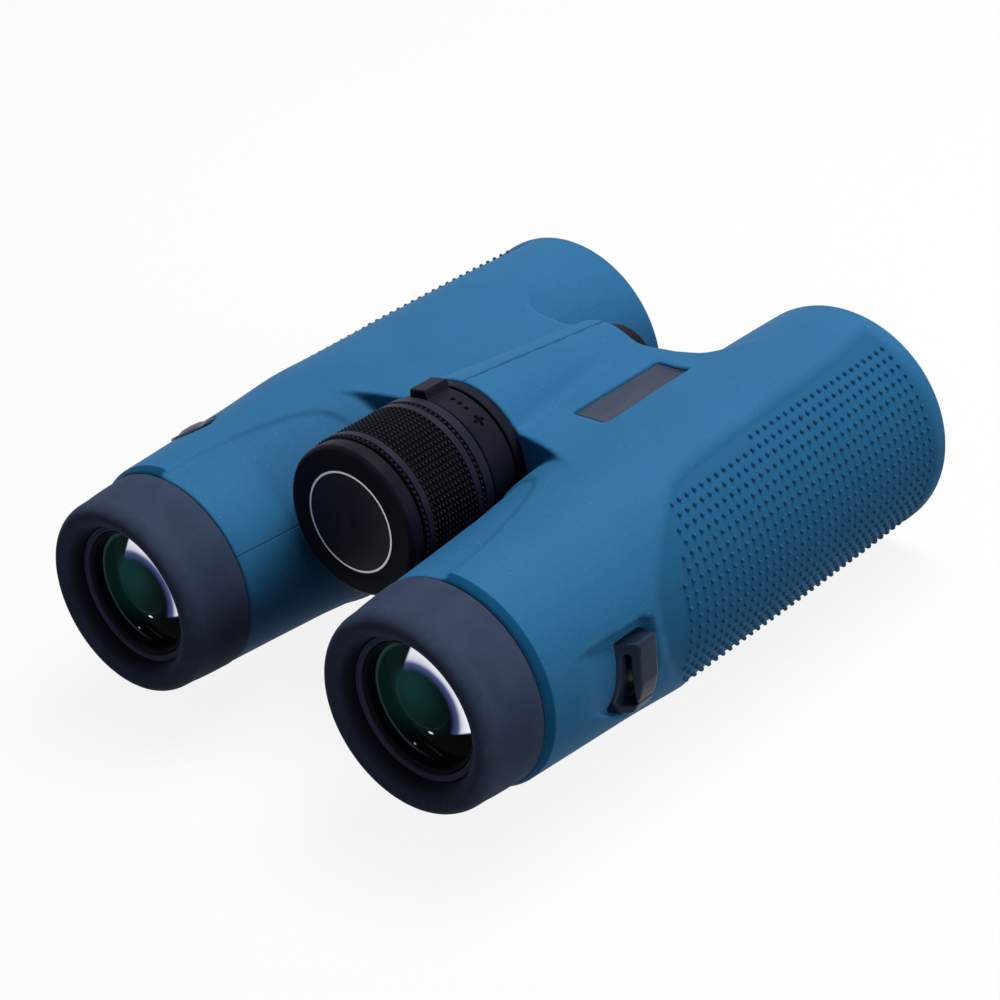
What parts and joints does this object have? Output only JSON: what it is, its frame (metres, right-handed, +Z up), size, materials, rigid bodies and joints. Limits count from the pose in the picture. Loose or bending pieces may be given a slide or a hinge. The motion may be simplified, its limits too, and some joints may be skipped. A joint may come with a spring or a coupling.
{
  "type": "binoculars",
  "caption": "Roof-prism astronomy binoculars with blue moulded rubber armour, one long bridge, a central focus wheel, a diopter ring, twist-up eyecups and strap lugs.",
  "frame": {"origin": "centre of the underside of the bounding box, under the hinge and midway along the length", "axes": "+X to the right barrel, +Y from the eyecups to the objectives, +Z up"},
  "size_m": [0.1256, 0.1434, 0.0591],
  "materials": {
    "armour_rubber": "matt teal-blue moulded rubber with a fine grain",
    "soft_rubber": "matt soft rubber",
    "black_plastic": "satin moulded plastic",
    "knurled_rubber": "moulded grip pattern",
    "gloss_black": "polished",
    "cast_metal": "cast magnesium-like shell, black coating",
    "anodised": "black anodised",
    "steel": "turned",
    "brass": "turned",
    "lens_glass": "coated",
    "prism_glass": "polished",
    "plate_grey": "satin dark grey",
    "badge_silver": "smooth silver-grey"
  },
  "bodies": {
    "left_barrel": {"armour_left": "armour_rubber", "housing_left": "cast_metal", "eyepiece_tube_left": "black_plastic", "eyepiece_ring_left": "anodised", "eye_lens_left": "lens_glass", "eyepiece_spacer_left": "anodised", "field_lens_left": "lens_glass", "prism_cage_left": "anodised", "roof_prism_left": "prism_glass", "half_prism_left": "prism_glass", "objective_cell_left": "anodised", "objective_flint_left": "lens_glass", "objective_crown_left": "lens_glass", "objective_ring_left": "anodised", "strap_lug_left": "gloss_black", "side_badge": "badge_silver", "rear_collar": "black_plastic", "thrust_washer": "brass", "hinge_bush": "steel", "hinge_shaft": "steel", "hinge_nut": "steel"},
    "right_barrel": {"armour_right": "armour_rubber", "housing_right": "cast_metal", "eyepiece_tube_right": "black_plastic", "eyepiece_ring_right": "anodised", "eye_lens_right": "lens_glass", "eyepiece_spacer_right": "anodised", "field_lens_right": "lens_glass", "prism_cage_right": "anodised", "roof_prism_right": "prism_glass", "half_prism_right": "prism_glass", "objective_cell_right": "anodised", "objective_flint_right": "lens_glass", "objective_crown_right": "lens_glass", "objective_ring_right": "anodised", "strap_lug_right": "gloss_black", "name_plate": "plate_grey"},
    "focus_wheel": {"focus_knob": "black_plastic", "focus_cap": "gloss_black", "focus_grip": "knurled_rubber", "focus_spindle": "steel"},
    "diopter": {"diopter_ring": "black_plastic"},
    "carriage": {"focus_carriage": "brass", "focus_arm_left": "steel", "focus_cell_left": "anodised", "focus_lens_left": "lens_glass"},
    "right_arm": {"focus_arm_right": "steel"},
    "right_focus_cell": {"focus_cell_right": "anodised", "focus_lens_right": "lens_glass"},
    "left_sleeve": {"eyecup_sleeve_left": "black_plastic"},
    "left_eyecup": {"eyecup_left": "soft_rubber"},
    "right_sleeve": {"eyecup_sleeve_right": "black_plastic"},
    "right_eyecup": {"eyecup_right": "soft_rubber"},
    "socket_cap": {"tripod_cap": "black_plastic"}
  },
  "joints": [
    {"name": "eye_spacing", "type": "hinge", "parent": "left_barrel", "child": "right_barrel", "pos_m": [0, -0.00713, 0.04155], "axis": [0, 1, 0], "range_deg": [0, 45.5]},
    {"name": "focus_turn", "type": "hinge", "parent": "left_barrel", "child": "focus_wheel", "pos_m": [0, -0.03112, 0.04155], "axis": [0, 1, 0], "range_deg": [-241, 241]},
    {"name": "carriage_slide", "type": "slide", "parent": "left_barrel", "child": "carriage", "axis": [0, 1, 0], "range_m": [-0.002, 0.002]},
    {"name": "right_arm_slide", "type": "slide", "parent": "right_barrel", "child": "right_arm", "axis": [0, 1, 0], "range_m": [-0.0021, 0.0021]},
    {"name": "diopter_turn", "type": "hinge", "parent": "left_barrel", "child": "diopter", "pos_m": [0, -0.01312, 0.04155], "axis": [0, 1, 0], "range_deg": [-41, 41]},
    {"name": "right_cell_slide", "type": "slide", "parent": "right_arm", "child": "right_focus_cell", "axis": [0, 1, 0], "range_m": [-0.0008, 0.0008]},
    {"name": "left_eyecup_twist", "type": "hinge", "parent": "left_barrel", "child": "left_sleeve", "pos_m": [-0.037, -0.06112, 0.0259], "axis": [0, 1, 0], "range_deg": [-1, 121]},
    {"name": "left_eyecup_rise", "type": "slide", "parent": "left_sleeve", "child": "left_eyecup", "axis": [0, -1, 0], "range_m": [0, 0.008]},
    {"name": "right_eyecup_twist", "type": "hinge", "parent": "right_barrel", "child": "right_sleeve", "pos_m": [0.037, -0.06112, 0.0259], "axis": [0, 1, 0], "range_deg": [-1, 121]},
    {"name": "right_eyecup_rise", "type": "slide", "parent": "right_sleeve", "child": "right_eyecup", "axis": [0, -1, 0], "range_m": [0, 0.008]},
    {"name": "socket_cap_pull", "type": "slide", "parent": "left_barrel", "child": "socket_cap", "axis": [0, 1, 0], "range_m": [0, 0.012]}
  ],
  "couplings": [
    {"joint": "focus_turn", "follows": "carriage_slide", "rad_per_m": 2094.4},
    {"joint": "right_arm_slide", "follows": "carriage_slide", "ratio": 1},
    {"joint": "diopter_turn", "follows": "right_cell_slide", "rad_per_m": 872.66},
    {"joint": "left_eyecup_twist", "follows": "left_eyecup_rise", "rad_per_m": 261.8},
    {"joint": "right_eyecup_twist", "follows": "right_eyecup_rise", "rad_per_m": 261.8}
  ]
}
